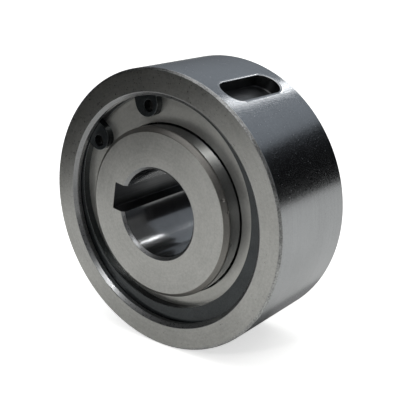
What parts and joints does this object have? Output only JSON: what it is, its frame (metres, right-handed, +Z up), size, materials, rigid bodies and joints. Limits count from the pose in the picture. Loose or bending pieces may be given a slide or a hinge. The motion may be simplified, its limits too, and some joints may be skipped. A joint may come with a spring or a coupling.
{
  "type": "sprag clutch",
  "caption": "One-way sprag clutch: keyed hub turning freely one way inside a keyed outer ring, closed by cover plates and circlips.",
  "frame": {"origin": "centre of the bore at mid width", "axes": "+Y along the clutch axis towards the rear side, +Z up; the front, with the circlip eyes of the picture, faces -Y"},
  "size_m": [0.08, 0.034, 0.08],
  "materials": {
    "ground_steel": "ground, satin",
    "polished_steel": "ground face, polished wall",
    "plate_steel": "cold rolled, satin",
    "phosphated_steel": "phosphated and oiled, blue black",
    "sprag_steel": "hardened and tumbled",
    "spring_steel": "drawn wire"
  },
  "bodies": {
    "outer_body": {"outer_ring": "ground_steel", "front_cover_plate": "plate_steel", "rear_cover_plate": "plate_steel", "front_circlip": "phosphated_steel", "rear_circlip": "phosphated_steel", "front_garter_spring": "spring_steel", "rear_garter_spring": "spring_steel"},
    "hub": {"inner_ring": "polished_steel"},
    "sprag_01": {"sprag_01": "sprag_steel"},
    "sprag_02": {"sprag_02": "sprag_steel"},
    "sprag_03": {"sprag_03": "sprag_steel"},
    "sprag_04": {"sprag_04": "sprag_steel"},
    "sprag_05": {"sprag_05": "sprag_steel"},
    "sprag_06": {"sprag_06": "sprag_steel"},
    "sprag_07": {"sprag_07": "sprag_steel"},
    "sprag_08": {"sprag_08": "sprag_steel"},
    "sprag_09": {"sprag_09": "sprag_steel"},
    "sprag_10": {"sprag_10": "sprag_steel"},
    "sprag_11": {"sprag_11": "sprag_steel"},
    "sprag_12": {"sprag_12": "sprag_steel"},
    "sprag_13": {"sprag_13": "sprag_steel"},
    "sprag_14": {"sprag_14": "sprag_steel"},
    "sprag_15": {"sprag_15": "sprag_steel"},
    "sprag_16": {"sprag_16": "sprag_steel"},
    "sprag_17": {"sprag_17": "sprag_steel"},
    "sprag_18": {"sprag_18": "sprag_steel"},
    "sprag_19": {"sprag_19": "sprag_steel"},
    "sprag_20": {"sprag_20": "sprag_steel"},
    "sprag_21": {"sprag_21": "sprag_steel"},
    "sprag_22": {"sprag_22": "sprag_steel"},
    "sprag_23": {"sprag_23": "sprag_steel"},
    "sprag_24": {"sprag_24": "sprag_steel"},
    "sprag_25": {"sprag_25": "sprag_steel"},
    "sprag_26": {"sprag_26": "sprag_steel"},
    "sprag_27": {"sprag_27": "sprag_steel"},
    "sprag_28": {"sprag_28": "sprag_steel"}
  },
  "joints": [
    {"name": "inner_ring_spin", "type": "hinge", "parent": "outer_body", "child": "hub", "pos_m": [0, 0, 0], "axis": [0, -1, 0], "range_deg": [0, 360]},
    {"name": "sprag_01_tilt", "type": "hinge", "parent": "outer_body", "child": "sprag_01", "pos_m": [0, 0, 0.02745], "axis": [0, 1, 0], "range_deg": [0, 5], "stiffness_Nm_per_rad": 0.01},
    {"name": "sprag_02_tilt", "type": "hinge", "parent": "outer_body", "child": "sprag_02", "pos_m": [0.00611, 0, 0.02676], "axis": [0, 1, 0], "range_deg": [0, 5], "stiffness_Nm_per_rad": 0.01},
    {"name": "sprag_03_tilt", "type": "hinge", "parent": "outer_body", "child": "sprag_03", "pos_m": [0.01191, 0, 0.02473], "axis": [0, 1, 0], "range_deg": [0, 5], "stiffness_Nm_per_rad": 0.01},
    {"name": "sprag_04_tilt", "type": "hinge", "parent": "outer_body", "child": "sprag_04", "pos_m": [0.01711, 0, 0.02146], "axis": [0, 1, 0], "range_deg": [0, 5], "stiffness_Nm_per_rad": 0.01},
    {"name": "sprag_05_tilt", "type": "hinge", "parent": "outer_body", "child": "sprag_05", "pos_m": [0.02146, 0, 0.01711], "axis": [0, 1, 0], "range_deg": [0, 5], "stiffness_Nm_per_rad": 0.01},
    {"name": "sprag_06_tilt", "type": "hinge", "parent": "outer_body", "child": "sprag_06", "pos_m": [0.02473, 0, 0.01191], "axis": [0, 1, 0], "range_deg": [0, 5], "stiffness_Nm_per_rad": 0.01},
    {"name": "sprag_07_tilt", "type": "hinge", "parent": "outer_body", "child": "sprag_07", "pos_m": [0.02676, 0, 0.00611], "axis": [0, 1, 0], "range_deg": [0, 5], "stiffness_Nm_per_rad": 0.01},
    {"name": "sprag_08_tilt", "type": "hinge", "parent": "outer_body", "child": "sprag_08", "pos_m": [0.02745, 0, 0], "axis": [0, 1, 0], "range_deg": [0, 5], "stiffness_Nm_per_rad": 0.01},
    {"name": "sprag_09_tilt", "type": "hinge", "parent": "outer_body", "child": "sprag_09", "pos_m": [0.02676, 0, -0.00611], "axis": [0, 1, 0], "range_deg": [0, 5], "stiffness_Nm_per_rad": 0.01},
    {"name": "sprag_10_tilt", "type": "hinge", "parent": "outer_body", "child": "sprag_10", "pos_m": [0.02473, 0, -0.01191], "axis": [0, 1, 0], "range_deg": [0, 5], "stiffness_Nm_per_rad": 0.01},
    {"name": "sprag_11_tilt", "type": "hinge", "parent": "outer_body", "child": "sprag_11", "pos_m": [0.02146, 0, -0.01711], "axis": [0, 1, 0], "range_deg": [0, 5], "stiffness_Nm_per_rad": 0.01},
    {"name": "sprag_12_tilt", "type": "hinge", "parent": "outer_body", "child": "sprag_12", "pos_m": [0.01711, 0, -0.02146], "axis": [0, 1, 0], "range_deg": [0, 5], "stiffness_Nm_per_rad": 0.01},
    {"name": "sprag_13_tilt", "type": "hinge", "parent": "outer_body", "child": "sprag_13", "pos_m": [0.01191, 0, -0.02473], "axis": [0, 1, 0], "range_deg": [0, 5], "stiffness_Nm_per_rad": 0.01},
    {"name": "sprag_14_tilt", "type": "hinge", "parent": "outer_body", "child": "sprag_14", "pos_m": [0.00611, 0, -0.02676], "axis": [0, 1, 0], "range_deg": [0, 5], "stiffness_Nm_per_rad": 0.01},
    {"name": "sprag_15_tilt", "type": "hinge", "parent": "outer_body", "child": "sprag_15", "pos_m": [0, 0, -0.02745], "axis": [0, 1, 0], "range_deg": [0, 5], "stiffness_Nm_per_rad": 0.01},
    {"name": "sprag_16_tilt", "type": "hinge", "parent": "outer_body", "child": "sprag_16", "pos_m": [-0.00611, 0, -0.02676], "axis": [0, 1, 0], "range_deg": [0, 5], "stiffness_Nm_per_rad": 0.01},
    {"name": "sprag_17_tilt", "type": "hinge", "parent": "outer_body", "child": "sprag_17", "pos_m": [-0.01191, 0, -0.02473], "axis": [0, 1, 0], "range_deg": [0, 5], "stiffness_Nm_per_rad": 0.01},
    {"name": "sprag_18_tilt", "type": "hinge", "parent": "outer_body", "child": "sprag_18", "pos_m": [-0.01711, 0, -0.02146], "axis": [0, 1, 0], "range_deg": [0, 5], "stiffness_Nm_per_rad": 0.01},
    {"name": "sprag_19_tilt", "type": "hinge", "parent": "outer_body", "child": "sprag_19", "pos_m": [-0.02146, 0, -0.01711], "axis": [0, 1, 0], "range_deg": [0, 5], "stiffness_Nm_per_rad": 0.01},
    {"name": "sprag_20_tilt", "type": "hinge", "parent": "outer_body", "child": "sprag_20", "pos_m": [-0.02473, 0, -0.01191], "axis": [0, 1, 0], "range_deg": [0, 5], "stiffness_Nm_per_rad": 0.01},
    {"name": "sprag_21_tilt", "type": "hinge", "parent": "outer_body", "child": "sprag_21", "pos_m": [-0.02676, 0, -0.00611], "axis": [0, 1, 0], "range_deg": [0, 5], "stiffness_Nm_per_rad": 0.01},
    {"name": "sprag_22_tilt", "type": "hinge", "parent": "outer_body", "child": "sprag_22", "pos_m": [-0.02745, 0, 0], "axis": [0, 1, 0], "range_deg": [0, 5], "stiffness_Nm_per_rad": 0.01},
    {"name": "sprag_23_tilt", "type": "hinge", "parent": "outer_body", "child": "sprag_23", "pos_m": [-0.02676, 0, 0.00611], "axis": [0, 1, 0], "range_deg": [0, 5], "stiffness_Nm_per_rad": 0.01},
    {"name": "sprag_24_tilt", "type": "hinge", "parent": "outer_body", "child": "sprag_24", "pos_m": [-0.02473, 0, 0.01191], "axis": [0, 1, 0], "range_deg": [0, 5], "stiffness_Nm_per_rad": 0.01},
    {"name": "sprag_25_tilt", "type": "hinge", "parent": "outer_body", "child": "sprag_25", "pos_m": [-0.02146, 0, 0.01711], "axis": [0, 1, 0], "range_deg": [0, 5], "stiffness_Nm_per_rad": 0.01},
    {"name": "sprag_26_tilt", "type": "hinge", "parent": "outer_body", "child": "sprag_26", "pos_m": [-0.01711, 0, 0.02146], "axis": [0, 1, 0], "range_deg": [0, 5], "stiffness_Nm_per_rad": 0.01},
    {"name": "sprag_27_tilt", "type": "hinge", "parent": "outer_body", "child": "sprag_27", "pos_m": [-0.01191, 0, 0.02473], "axis": [0, 1, 0], "range_deg": [0, 5], "stiffness_Nm_per_rad": 0.01},
    {"name": "sprag_28_tilt", "type": "hinge", "parent": "outer_body", "child": "sprag_28", "pos_m": [-0.00611, 0, 0.02676], "axis": [0, 1, 0], "range_deg": [0, 5], "stiffness_Nm_per_rad": 0.01}
  ],
  "couplings": [
    {"joint": "sprag_02_tilt", "follows": "sprag_01_tilt", "ratio": 1},
    {"joint": "sprag_03_tilt", "follows": "sprag_01_tilt", "ratio": 1},
    {"joint": "sprag_04_tilt", "follows": "sprag_01_tilt", "ratio": 1},
    {"joint": "sprag_05_tilt", "follows": "sprag_01_tilt", "ratio": 1},
    {"joint": "sprag_06_tilt", "follows": "sprag_01_tilt", "ratio": 1},
    {"joint": "sprag_07_tilt", "follows": "sprag_01_tilt", "ratio": 1},
    {"joint": "sprag_08_tilt", "follows": "sprag_01_tilt", "ratio": 1},
    {"joint": "sprag_09_tilt", "follows": "sprag_01_tilt", "ratio": 1},
    {"joint": "sprag_10_tilt", "follows": "sprag_01_tilt", "ratio": 1},
    {"joint": "sprag_11_tilt", "follows": "sprag_01_tilt", "ratio": 1},
    {"joint": "sprag_12_tilt", "follows": "sprag_01_tilt", "ratio": 1},
    {"joint": "sprag_13_tilt", "follows": "sprag_01_tilt", "ratio": 1},
    {"joint": "sprag_14_tilt", "follows": "sprag_01_tilt", "ratio": 1},
    {"joint": "sprag_15_tilt", "follows": "sprag_01_tilt", "ratio": 1},
    {"joint": "sprag_16_tilt", "follows": "sprag_01_tilt", "ratio": 1},
    {"joint": "sprag_17_tilt", "follows": "sprag_01_tilt", "ratio": 1},
    {"joint": "sprag_18_tilt", "follows": "sprag_01_tilt", "ratio": 1},
    {"joint": "sprag_19_tilt", "follows": "sprag_01_tilt", "ratio": 1},
    {"joint": "sprag_20_tilt", "follows": "sprag_01_tilt", "ratio": 1},
    {"joint": "sprag_21_tilt", "follows": "sprag_01_tilt", "ratio": 1},
    {"joint": "sprag_22_tilt", "follows": "sprag_01_tilt", "ratio": 1},
    {"joint": "sprag_23_tilt", "follows": "sprag_01_tilt", "ratio": 1},
    {"joint": "sprag_24_tilt", "follows": "sprag_01_tilt", "ratio": 1},
    {"joint": "sprag_25_tilt", "follows": "sprag_01_tilt", "ratio": 1},
    {"joint": "sprag_26_tilt", "follows": "sprag_01_tilt", "ratio": 1},
    {"joint": "sprag_27_tilt", "follows": "sprag_01_tilt", "ratio": 1},
    {"joint": "sprag_28_tilt", "follows": "sprag_01_tilt", "ratio": 1}
  ]
}
